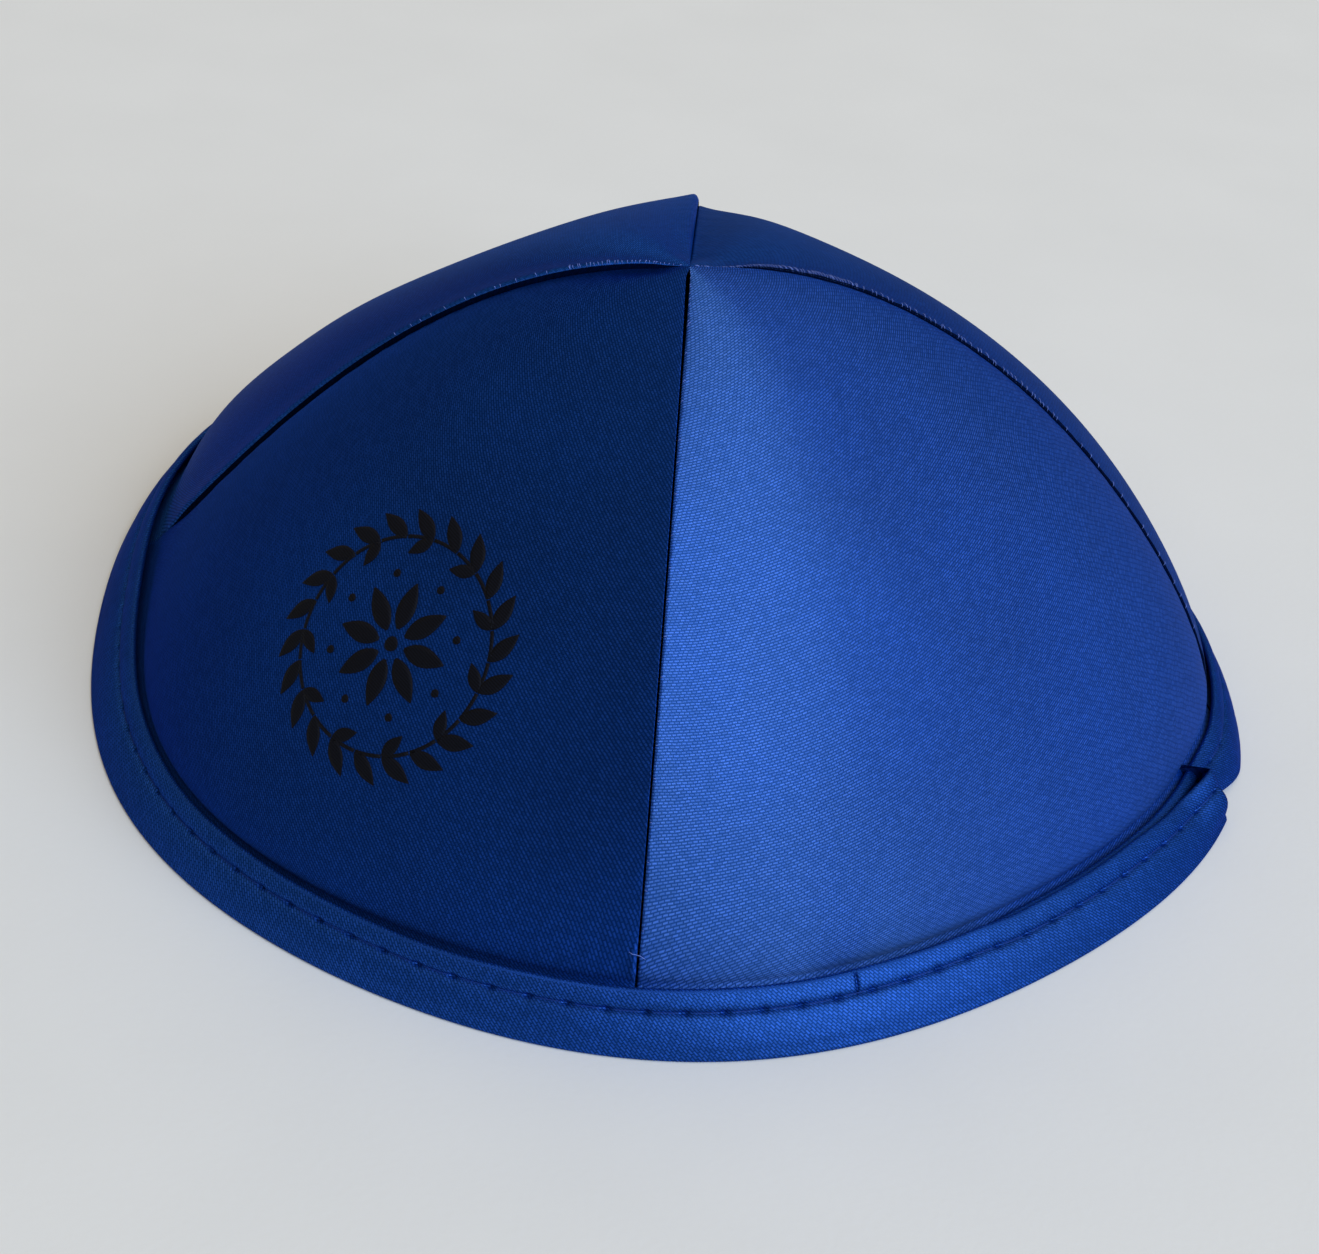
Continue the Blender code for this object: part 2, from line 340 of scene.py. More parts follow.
def ringFaces(rings, points):
    # Quads between rings of points that each close on themselves, and a cap at either end
    index = np.arange(rings * points).reshape(rings, points)
    following = np.roll(index, -1, axis=1)
    quads = np.stack([index[:-1], following[:-1], following[1:], index[1:]], axis=-1).reshape(-1, 4)
    return quads.tolist() + [index[0][::-1].tolist(), index[-1].tolist()]


def sheetFaces(columns, rows):
    # Faces of a front grid, a back grid and the edge around them, and how many are the front's
    count = columns * rows
    index = np.arange(count).reshape(columns, rows)
    front = np.stack([index[:-1, :-1], index[:-1, 1:], index[1:, 1:], index[1:, :-1]], axis=-1).reshape(-1, 4)
    back = front[:, ::-1] + count
    rim = np.concatenate([index[0, :], index[1:, -1], index[-1, -2::-1], index[-2:0:-1, 0]])
    following = np.roll(rim, -1)
    edge = np.stack([following, rim, rim + count, following + count], axis=-1)
    return np.concatenate([front, back, edge]), len(front)


def closedSheet(name, outer, inner, uv, looks, seamShadowColumns):
    # A sheet of cloth with its cut edges. Its looks are for its face, its back and its side columns of painted seam
    # shadow.
    faces, frontCount = sheetFaces(*outer.shape[:2])
    start, end = [count * (outer.shape[1] - 1) for count in seamShadowColumns]
    slots = np.zeros(len(faces), np.int32)
    slots[frontCount:2 * frontCount] = 1
    # the turned-in edges and the columns beside them take the painted seam shadow
    slots[:start] = 2
    slots[frontCount - end:frontCount] = 2
    points = np.concatenate([outer.reshape(-1, 3), inner.reshape(-1, 3)])
    return makePiece(name, points.tolist(), faces.tolist(), np.tile(uv.reshape(-1, 2), (2, 1)), looks, slots)


# a direction that no thread runs along
threadUp = np.array((0.13, 0.21, 0.97))


def tubes(name, paths, radius, sides, look):
    # Short lengths of thread as one piece, thinner at their ends, each along its own points
    points, faces = [], []
    angles = np.linspace(0.0, 2.0 * math.pi, sides, endpoint=False)[:, None]
    for path in paths:
        along = unit(np.gradient(path, axis=0))
        side = unit(np.cross(along, threadUp))
        other = np.cross(along, side)
        thick = radius * np.sqrt(np.clip(1.0 - np.linspace(-1.0, 1.0, len(path)) ** 6 * 0.75, 0.05, 1.0))
        ring = side[:, None] * np.cos(angles) + other[:, None] * np.sin(angles)
        faces += [[len(points) + i for i in face] for face in ringFaces(len(path), sides)]
        points += (path[:, None] + thick[:, None, None] * ring).reshape(-1, 3).tolist()
    return makePiece(name, points, faces, np.array(points)[:, :2], [look])


# Cloth and thread

satinLook = {
    "rib": 0.33,  # mm between two rows of floats
    "float": 0.80,  # mm, length of a float
    "step": 0.14,  # mm that each row starts further on
    "tilt": 19.0,  # degrees that the rows rise to the right
    "gap": 0.46,  # share of a row that lies dark between its floats
    "dimFloat": 0.55,  # brightness of the dimmest float
    "stray": (0.5, 0.16, 0.0),  # mm that a float strays along its row and across it
    "strayScale": 0.5,  # per mm
    # uneven dye and uneven yarn: scale per mm, detail, roughness, darkest and lightest share
    "uneven": ((0.035, 2.0, 0.5, 0.90, 1.08), (0.9, 3.0, 0.6, 0.94, 1.06)),
    "depth": 0.06 * mm,
}


def wovenSatin(name, look):
    # Polyester satin, woven: long floats lie side by side, so it is dark and even, with a pale streak across them.
    material, tree = newMaterial(name)
    place = addNode(tree, "UVMap", uv_map="clothMap")
    rows = addNode(tree, "Mapping", {"Scale": (1000.0, 1000.0, 1.0), "Vector": place,
                                     "Rotation": (0.0, 0.0, math.radians(look["tilt"]))})
    axes = addNode(tree, "SeparateXYZ", {"Vector": rows}).outputs
    # each row starts a little further on than the one before
    shear = addNode(tree, "Math", {0: axes["Y"], 1: look["step"] / look["rib"], 2: axes["X"]},
                    operation="MULTIPLY_ADD")
    sheared = addNode(tree, "CombineXYZ", {"X": shear, "Y": axes["Y"]})
    wander = addNode(tree, "TexNoise", {"Scale": look["strayScale"], "Detail": 2.0, "Vector": rows},
                     noise_dimensions="2D")
    strayed = addNode(tree, "VectorMath", {0: wander.outputs["Color"], 1: look["stray"], 2: sheared},
                      operation="MULTIPLY_ADD")
    dim = look["dimFloat"]
    floats = addNode(tree, "TexBrick", {"Scale": 1.0, "Brick Width": look["float"], "Row Height": look["rib"],
                                        "Mortar Size": look["rib"] * look["gap"], "Mortar Smooth": 1.0,
                                        "Color1": (1.0, 1.0, 1.0, 1.0), "Color2": (dim, dim, dim, 1.0),
                                        "Mortar": (0.0, 0.0, 0.0, 1.0), "Vector": strayed}, offset=0.5)
    colour = addNode(tree, "Mix", {"A": linear(look["deep"]), "B": linear(look["light"]), "Factor": floats},
                     data_type="RGBA")
    tones = []
    for scale, detail, roughness, low, high in look["uneven"]:
        noise = addNode(tree, "TexNoise",
                        {"Scale": scale, "Detail": detail, "Roughness": roughness, "Vector": rows},
                        noise_dimensions="2D")
        tones.append(addNode(tree, "MapRange", {"From Min": 0.3, "From Max": 0.7, "To Min": low, "To Max": high,
                                                "Value": noise}))
    tone = addNode(tree, "Math", dict(enumerate(tones)), operation="MULTIPLY")
    colour = addNode(tree, "VectorMath", {0: colour, "Scale": tone}, operation="SCALE")
    relief = addNode(tree, "Bump", {"Strength": look["relief"], "Distance": look["depth"], "Height": floats})
    grain = addNode(tree, "Tangent", direction_type="UV_MAP", uv_map="clothMap")
    common = {"Anisotropic Rotation": look["turn"], "Specular Tint": linear(look["rimTint"]), "Normal": relief,
              "Tangent": grain}
    surface = addNode(tree, "BsdfPrincipled", {
        "Base Color": colour, "Metallic": look["metallic"], "IOR": 1.5, "Specular IOR Level": 0.05,
        "Roughness": look["roughness"], "Anisotropic": look["bodyStretch"], "Sheen Weight": look["sheen"],
        "Sheen Roughness": 0.5, "Sheen Tint": linear(look["sheenTint"]), **common})
    if look["shineShare"] > 0.0:
        # the floats' own shine: paler than the dyed body, and stretched down the cloth
        pale = addNode(tree, "Mix", {"A": linear(look["shine"][0]), "B": linear(look["shine"][1]), "Factor": floats},
                       data_type="RGBA")
        streak = addNode(tree, "BsdfPrincipled", {"Base Color": pale, "Metallic": 1.0, "Anisotropic": look["stretch"],
                                                  "Roughness": look["shineRoughness"], **common})
        surface = addNode(tree, "MixShader", {0: look["shineShare"], 1: surface, 2: streak})
    addNode(tree, "OutputMaterial", {"Surface": surface})
    return material


def spunThread(name, colour, sheenTint):
    # Polyester thread, spun and dyed: a soft, slightly fuzzy shine
    material, tree = newMaterial(name)
    place = addNode(tree, "TexCoord").outputs["Object"]
    twist = addNode(tree, "TexNoise", {"Scale": 2500.0, "Detail": 2.0, "Vector": place})
    twoTones(tree, colour, twist, (0.4, 0.05 * mm), twist,
             {"Roughness": 0.6, "Specular IOR Level": 0.2, "Sheen Weight": 0.08, "Sheen Tint": linear(sheenTint)})
    return material


satinFace = {**satinLook, "deep": "#032668", "light": "#0c4cc4", "roughness": 0.56, "relief": 0.20, "metallic": 0.90,
             "bodyStretch": 0.8, "rimTint": "#2a6cc0", "sheen": 0.02, "sheenTint": "#3f6fd0", "turn": 0.25,
             "shine": ("#35628a", "#80aed0"), "shineRoughness": 0.46, "shineShare": 0.10, "stretch": 1.0}
# The back of the cloth shows the short floats: it is duller and a little greyer.
satinBack = {**satinFace, "deep": "#0e2a66", "light": "#234b9a", "roughness": 0.65, "metallic": 0.2, "bodyStretch": 0.0,
             "sheen": 0.15, "shineShare": 0.0}
# Painted seam shadow: cloth turned in and pressed at a seam is coloured almost black, so the seam reads as a dark line.
seamShadowFace = {**satinBack, "deep": "#010818", "light": "#031238", "roughness": 0.8, "metallic": 0.0, "sheen": 0.0}
# The tape is cut on the bias, so its floats run slantwise.
tapeFace = {**satinFace, "rib": 0.36, "tilt": -50.0, "metallic": 0.74, "bodyStretch": 0.3, "deep": "#042a66",
            "light": "#0d50be", "stretch": 0.5}
# The panels are cut at different angles to the grain, so their floats slant and shine differently. Their colours also
# hold
# painted light and shade: lighter on the front right panel, where the lamp falls, and darker on the front left, in
# shade.
grains = {
    "alongGrainPaintedShade": {"tilt": -40.0, "deep": "#022a6e", "light": "#0848b6", "relief": 0.18, "shineShare": 0.07},
    "acrossGrainPaintedLight": {"metallic": 0.42, "roughness": 0.58, "bodyStretch": 0.5, "deep": "#022872", "light": "#0a56ce",
                    "relief": 0.36, "shine": ("#447aa8", "#a0c8e8"), "shineRoughness": 0.45, "shineShare": 0.19},
    "slantGrain": {"metallic": 0.70, "bodyStretch": 0.5, "deep": "#043070", "light": "#0e56bc"},
}

materials = {
    **{grain: wovenSatin("polyesterSatinWoven_" + grain, {**satinFace, **change}) for grain, change in grains.items()},
    "back": wovenSatin("polyesterSatinBack", satinBack),
    # painted seam shadow: almost black satin where the seams lie in shade
    "seamShadow": wovenSatin("polyesterSatinPaintedSeamShadow", seamShadowFace),
    "tape": wovenSatin("satinBiasTapePressed", tapeFace),
    "thread": spunThread("polyesterThreadSpun", ("#08286c", "#123c8a"), "#4468ac"),
    "whisker": spunThread("polyesterFilamentFrayed", ("#4a68c4", "#8aa2e8"), "#93a8e4"),
}
print("cloth and thread mixed:", sorted(materials))

# The four crown panels

sewing = {
    "cloth": 0.45 * mm,  # thickness of the satin
    "turnIn": (0.5 * mm, 1.1 * mm, 1.8 * mm),  # rows of the seam allowance, measured down from the roll
    # columns beside a seam, in mm from it
    "beside": (0.03, 0.10, 0.22, 0.38, 0.58, 0.82, 1.15, 1.6, 2.2, 3.0, 4.0, 5.2),
    "narrow": 22.0 * mm,  # panels narrower than this squeeze those columns
    "seamRun": 95.0,  # mm, about the length of a seam
    "openFrom": 4.0 * mm,  # a seam opens fully where its panel is this wide
    "rollBlend": 2.5,  # rolls over which the face turns into the seam
    "columns": 104,
    "tip": (0.0008, 0.0022, 0.0042, 0.0070),  # first rows, close to the apex
    "rows": 146,
    "footRows": 8,
}

slack = {
    "free": 16.0 * mm,  # from a seam to where the cloth hangs free
    # wavelengths, height and slant of the waves down the panel and across it
    "down": ((43.0 * mm, 61.0 * mm, 87.0 * mm), 0.20 * mm, 0.35),
    "across": ((38.0 * mm, 55.0 * mm, 90.0 * mm), 0.16 * mm, -0.25),
    "pucker": ((3.1 * mm, 4.7 * mm, 7.3 * mm), 0.14 * mm),
    "puckerFrom": 0.8 * mm,
    "puckerReach": 3.2 * mm,
}

# For its two sides, a panel has the radius of its roll, its lift and the lift's reach, and how far its seam opens:
# beside the apex, how far down that goes, and all along, all in mm. The columns counted beside a seam are coloured dark
# as painted seam shadow.
# A crease has two points, across and down, its depth and its width. A pleat has its distance from the last seam, its
# width, its first and last step and its height.
plain = {"raised": 0.0, "seamShadowColumns": (0, 0), "crease": None, "pleat": None}
panels = {
    "satin_front_right": {
        **plain, "node": "panel_front_right", "grain": "acrossGrainPaintedLight", "seed": 1,
        "before": "front", "after": "right", "side": (0.437, -3.8, 0.059, 100.0), "rolls": (0.35, 0.16),
        "lifts": ((0.12, 2.5), (-0.22, 1.6)), "opens": ((0.10, 14.0, 0.08), (0.10, 45.0, 0.11)),
        "crease": (0.238, 0.42, 0.262, 0.88, -0.05, 4.0),
    },
    "satin_back_right": {
        **plain, "node": "panel_back_right", "grain": "slantGrain", "seed": 2,
        "before": "right", "after": "back", "side": (0.548, 1.5, 0.050, 88.0), "rolls": (0.35, 0.30),
        # three columns beside the right seam get painted seam shadow
        "lifts": ((0.05, 2.5), (-1.45, 8.0)), "opens": ((0.10, 45.0, 0.11), (0.0, 1.0, 0.0)), "seamShadowColumns": (3, 0),
    },
    "satin_back_left": {
        **plain, "node": "panel_back_left", "grain": "slantGrain", "seed": 3,
        "before": "back", "after": "left", "side": (0.328, -9.0, 0.069, 112.0), "rolls": (1.5, 0.55),
        "lifts": ((-0.55, 12.0), (0.45, 3.0)), "opens": ((0.0, 1.0, 0.0), (0.0, 1.0, 0.0)), "raised": 1.0,
    },
    "satin_front_left": {
        **plain, "node": "panel_front_left", "grain": "alongGrainPaintedShade", "seed": 4,
        "before": "left", "after": "front", "side": (0.437, -3.8, 0.059, 100.0), "rolls": (0.45, 0.09),
        "lifts": ((-0.60, 2.2), (-0.05, 0.7)), "opens": ((0.0, 1.0, 0.0), (0.36, 11.0, 0.12)),
        "pleat": (0.62, 0.26, 0.935, 0.992, 0.28),
    },
}


def unevenWave(angles, size, seed):
    # A smooth uneven wave of several parts, each with its own phase and strength
    rng = np.random.default_rng(seed)
    return size * sum(np.sin(angle + rng.uniform(0.0, 2.0 * math.pi)) * rng.uniform(0.6, 1.0) for angle in angles)


def ripple(values, lengths, size, seed):
    # A wave along a line, of several wavelengths in metres
    return unevenWave([2.0 * math.pi * values / length for length in lengths], size / len(lengths), seed)


def panelGrid(panel):
    # Outer and inner points of a panel and its map: columns from seam to seam, rows from the apex to the foot
    steps = np.concatenate([sewing["tip"], np.linspace(0.011, 1.0, sewing["rows"])])
    samples = np.linspace(0.0, 1.0, 81)
    run = runAlong(panelPoint(panel, *np.broadcast_arrays(samples[:, None], steps)))
    widths = run[-1]
    beside = np.array(sewing["beside"]) * mm
    squeeze = np.minimum(1.0, widths / sewing["narrow"])
    gapes = [(size * bell(steps * sewing["seamRun"], reach) + always) * mm * smooth(widths / sewing["openFrom"])
             for size, reach, always in panel["opens"]]
    middle = np.linspace(0.0, 1.0, sewing["columns"] + 2)[1:-1]
    columns = []
    for row in range(len(steps)):
        near, far = [beside * squeeze[row] + gape[row] for gape in gapes]
        spread = near[-1] + (widths[row] - near[-1] - far[-1]) * middle
        along = np.concatenate([near, spread, widths[row] - far[::-1]])
        columns.append(np.interp(along, run[:, row], samples))
    across = np.array(columns).T
    fromStart = np.array([np.interp(across[:, r], samples, run[:, r]) for r in range(len(steps))]).T
    upper = panelPoint(panel, across, np.broadcast_to(steps, across.shape))
    # the foot goes on into the folded tape
    foot = panelFoot(panelAzimuths(panel, across[:, -1])[1])
    shares = np.linspace(0.0, 1.0, sewing["footRows"] + 1)[1:]
    lower = upper[:, -1:] + (foot - upper[:, -1])[:, None] * shares[:, None]
    base = np.concatenate([upper, lower], axis=1)
    pad = (0, sewing["footRows"])
    fromStart = np.pad(fromStart, ((0, 0), pad), mode="edge")
    widths, squeeze, *gapes = [np.pad(values, pad, mode="edge") for values in (widths, squeeze, *gapes)]
    normals = unit(np.cross(np.gradient(base, axis=1), np.gradient(base, axis=0)))
    down = runAlong(base[base.shape[0] // 2])
    stepOf = np.concatenate([steps, 1.0 + shares])
    # directions that lie in each seam's own plane
    seamNormals = []
    for column, seam in ((0, panel["before"]), (-1, panel["after"])):
        ends = cap["seams"][seam]
        share = np.minimum(stepOf, 1.0)
        outward = radial(ends[0] * (1.0 - share) + ends[1] * share)
        sideways = np.stack([-outward[:, 1], outward[:, 0], outward[:, 2]], axis=-1)
        seamNormals.append(unit(np.cross(np.gradient(base[column], axis=0), sideways)))
    edges = (fromStart, widths - fromStart)
    depth = np.zeros_like(fromStart)
    for edge, gape, size, seamNormal in zip(edges, gapes, panel["rolls"], seamNormals):
        distance = edge - gape
        roll = size * mm * squeeze
        inside = np.clip(roll - distance, 0.0, None)
        depth += roll - np.sqrt(np.maximum(roll ** 2 - inside ** 2, 0.0))
        share = smooth(distance / (sewing["rollBlend"] * roll))[..., None]
        normals = unit(normals * share + seamNormal * (1.0 - share))
    outer = base - normals * (depth - panelRelief(panel, edges, down, stepOf))[..., None]
    # seam allowances, folded straight in
    flaps = [np.array([outer[column] - seamNormal * (drop * squeeze)[:, None] for drop in sewing["turnIn"]])
             for column, seamNormal in zip((0, -1), seamNormals)]
    outer = np.concatenate([flaps[0][::-1], outer, flaps[1]])
    normals = unit(np.cross(np.gradient(outer, axis=1), np.gradient(outer, axis=0)))
    inner = outer - normals * (sewing["cloth"] * np.minimum(1.0, squeeze * 2.0))[:, None]
    u = fromStart - 0.5 * widths
    drops = np.array(sewing["turnIn"])[:, None] * squeeze
    u = np.concatenate([u[:1] - drops[::-1], u, u[-1:] + drops])
    return outer, inner, np.stack([u, np.broadcast_to(down, u.shape)], axis=-1)


def panelRelief(panel, edges, down, step):
    # How far the cloth stands off its plain shape. Forms fade out over small shares of the panel's height.
    toStart, toEnd = edges
    seed = panel["seed"]
    relief = 0.0
    for distance, (lift, reach) in zip(edges, panel["lifts"]):
        relief += lift * mm * bell(distance, reach * mm) * smooth(step / 0.05) * smooth((1.0 - step) / 0.10)
    lengths, height, slant = slack["down"]
    waves = ripple(down + slant * toStart, lengths, height, seed)
    lengths, height, slant = slack["across"]
    waves += ripple(toStart + slant * down, lengths, height, seed + 10)
    free = smooth(np.minimum(toStart, toEnd) / slack["free"])
    relief += free * smooth((1.0 - step) / 0.12) * smooth(step / 0.1) * waves
    for distance, offset in ((toStart, 20), (toEnd, 30)):
        fade = np.exp(-distance / slack["puckerReach"]) * smooth(distance / slack["puckerFrom"]) * smooth(step / 0.08)
        relief += fade * ripple(down, *slack["pucker"], seed + offset)
    if panel["pleat"]:
        distance, reach, first, last, height = panel["pleat"]
        ends = smooth((step - first) / 0.01) * smooth((last - step) / 0.012)
        relief += height * mm * bell(toEnd / mm - distance, reach) * ends
    if panel["crease"]:
        across0, step0, across1, step1, depth, reach = panel["crease"]
        share = (step - step0) / (step1 - step0)
        away = toStart - (across0 + (across1 - across0) * share) * (toStart + toEnd)
        relief -= depth * mm * bell(away, reach * mm) * smooth(share / 0.25) * smooth((1.0 - share) / 0.3)
    return relief


panelFaces = {}
for name, panel in panels.items():
    panelFaces[name], inner, uv = panelGrid(panel)
    thing = closedSheet(name, panelFaces[name], inner, uv, (panel["grain"], "back", "seamShadow"),
                        [len(sewing["turnIn"]) + count for count in panel["seamShadowColumns"]])
    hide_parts(panel["node"])
    print("panel sewn:", name, len(thing.data.polygons), "faces")

# The folded tape

tape = {
    "sections": 1440,
    "stitchLine": 0.32,  # share of the visible face, from its upper edge
    "stitch": 4.9 * mm,  # from needle hole to needle hole
    "groove": (0.30 * mm, 0.28 * mm),  # depth and half width
    "hole": (0.60 * mm, 0.32 * mm, 0.44 * mm),  # depth, and half width across and along the tape
    "pucker": (0.02 * mm, 1.6 * mm, 0.4 * mm, 7.0 * mm),  # height, reach, start and slant
    "upperPillow": 0.22 * mm,
    "belly": 0.42 * mm,
    "foldRound": 1.0 * mm,
    # waves around the rim: harmonics, size and seed
    "edgeWaves": ((9, 14, 23), 0.07 * mm, 5),
    "lineWaves": ((5, 8, 13), 0.010, 6),
    "bellyWaves": ((3, 7, 11), 0.10, 7),
    # where the upper edge stands off the panels: azimuth, half width in degrees, amount
    "stands": ((178.0, 42.0, 0.75 * mm), (2.0, 20.0, 0.55 * mm), (-43.0, 22.0, 0.40 * mm)),
    "crossSeam": 358.0,  # degrees along the tape, where a cross seam shows in its upper band
    "cross": (0.34 * mm, 0.20 * mm),  # its depth and half width
    "degree": 1.5 * mm,  # one degree of the rim
    "showFrom": (10.0, 16.0),  # degrees into the lap over which the under layer's edge comes to show
    "hiddenDrop": 1.5 * mm,  # how far the under layer's edge lies lower where it is hidden
    "underDrop": 0.35 * mm,  # and all along the lap
    "threadRadius": 0.085 * mm,
    "threadFrom": 0.35 * mm,  # from a needle hole's middle
    "threadStray": 0.006,  # share of the visible face
    "endLift": 2.0 * mm,
    "endBulge": 0.9 * mm,
    "endLength": 6.0,  # degrees over which the outer end comes away
    "endRound": 0.6,  # degrees over which an end's folded edge rounds off
    "insideLine": 0.36,  # share of the inside face below the stitches
    "insideBelly": (0.16 * mm, 0.22 * mm),  # below and above them
    "insideGroove": (0.18 * mm, 0.4 * mm, 8.0 * mm),  # depth, half width and the face's height
}
faceShares = (0.0, 0.05, 0.11, 0.17, 0.22, 0.26, 0.29, 0.31, 0.325, 0.345, 0.37, 0.41, 0.47, 0.55, 0.64, 0.74, 0.84,
              0.93, 1.0)
insideShares = (0.0, 0.18, 0.38, 0.54, 0.61, 0.64, 0.67, 0.74, 0.87, 1.0)
# extra sections in degrees, from either end and about the cross seam
endSteps = np.array((0.0, 0.04, 0.12, 0.25, 0.45, 0.7))
crossSteps = np.array((-0.21, -0.15, -0.10, -0.05, 0.0, 0.05, 0.10, 0.15, 0.21))
wholeTape = 360.0 + cap["lapEnd"] - cap["lapStart"]


def around(azimuth, harmonics, size, seed):
    # A wave around the rim
    return unevenWave([np.radians(azimuth) * k for k in harmonics], size / math.sqrt(len(harmonics)), seed)


def stitchLine(azimuth):
    return tape["stitchLine"] + around(azimuth, *tape["lineWaves"])


class TapeSections:
    # The tape's sections around the rim, worked out for a list of azimuths along its length

    def __init__(self, travel):
        self.travel = travel
        self.azimuth = a = cap["lapStart"] + travel
        self.isOuter = (travel > 0.5 * wholeTape).astype(float)
        top, self.down, self.normal = tapeFrame(a)
        self.bend = top - self.normal * tuckDepth(a)[:, None]
        self.outward = radial(a)
        self.shift = layerShift(a) * self.isOuter
        self.floor = layerShift(a) * (1.0 - self.isOuter)
        first, last = tape["showFrom"]
        shown = self.isOuter * smooth((travel - 360.0 - first) / (last - first))
        hidden = (1.0 - self.isOuter) * (1.0 - smooth((travel - 3.0) / (last - 3.0)))
        reveal = shown * (0.45 + 0.55 * smooth((travel - wholeTape + 16.0) / 12.0))
        under = tape["underDrop"] * (1.0 - self.isOuter) * lapCover(a)
        self.drop = (cap["legDrop"] + cap["lapReveal"] * reveal + tape["hiddenDrop"] * hidden + under
                     + around(a, *tape["edgeWaves"]))
        self.ending = smooth((travel - wholeTape + tape["endLength"]) / tape["endLength"])
        self.stand = sum(size * smooth(1.0 - np.abs((a - centre + 180.0) % 360.0 - 180.0) / half)
                         for centre, half, size in tape["stands"])
        run = np.clip(np.minimum(travel, wholeTape - travel) / tape["endRound"], 0.0, 1.0)
        self.wallShare = np.sqrt(np.clip(1.0 - (1.0 - run) ** 2, 0.02, 1.0))
        self.half = 0.5 * cap["tapeWall"] * self.wallShare
        self.middle = cap["slotGap"] + self.shift + 0.5 * cap["tapeWall"]

    def at(self, offset, dist):
        # A point off the panels' plane by offset, and down the tape's slope by dist
        return self.bend + self.normal * offset[:, None] + self.down * dist[:, None]

    def distTo(self, offset, height):
        start = self.bend[:, 2] + self.normal[:, 2] * offset
        return (start - height) / -self.down[:, 2]

    def facePoint(self, share, distAlong, extra=0.0):
        # A point of the visible face: share runs from the upper edge to the fold
        offset = self.middle + self.half
        edge = self.drop + 0.5 * cap["tapeWall"]
        low = self.distTo(offset, self.floor + tape["foldRound"])
        line = stitchLine(self.azimuth)
        upper = np.clip(share / line, 0.0, 1.0)
        lower = np.clip((share - line) / (1.0 - line), 0.0, 1.0)
        belly = tape["belly"] * (1.0 + around(self.azimuth, *tape["bellyWaves"]))
        height = tape["upperPillow"] * np.sin(np.pi * upper) ** 0.8 + belly * np.sin(np.pi * lower) ** 0.75
        apart = (share - line) * (low - edge)
        hole = (distAlong / tape["stitch"]) % 1.0
        hole = np.minimum(hole, 1.0 - hole) * tape["stitch"]
        depth, width = tape["groove"]
        height -= depth * bell(apart, width)
        depth, width, length = tape["hole"]
        height -= depth * bell(apart, width) * bell(hole, length)
        size, reach, start, slant = tape["pucker"]
        pucker = np.cos(2.0 * np.pi * (distAlong / tape["stitch"] + 0.5 + apart / slant))
        height += size * pucker * np.exp(-np.abs(apart) / reach) * (1.0 - bell(apart, start))
        depth, width = tape["cross"]
        cross = bell((self.travel - tape["crossSeam"]) * tape["degree"], width)
        height += self.lean(share) - depth * cross * smooth((line - share) / 0.04 + 0.5)
        return self.at(offset + height * self.wallShare + extra, edge + (low - edge) * share)

    def lean(self, share):
        # The upper edge stands off, and the outer end lifts and bulges
        lift = tape["endLift"] * (1.0 - share) ** 1.5 + tape["endBulge"] * np.sin(np.pi * share ** 1.6)
        return self.stand * (1.0 - share) ** 1.4 + self.isOuter * self.ending * lift


def curve(start, corner, end, count):
    # Points of a rounded corner between two straight runs
    shares = [i / (count + 1) for i in range(1, count + 1)]
    return [start * (1.0 - t) ** 2 + corner * 2.0 * t * (1.0 - t) + end * t ** 2 for t in shares]


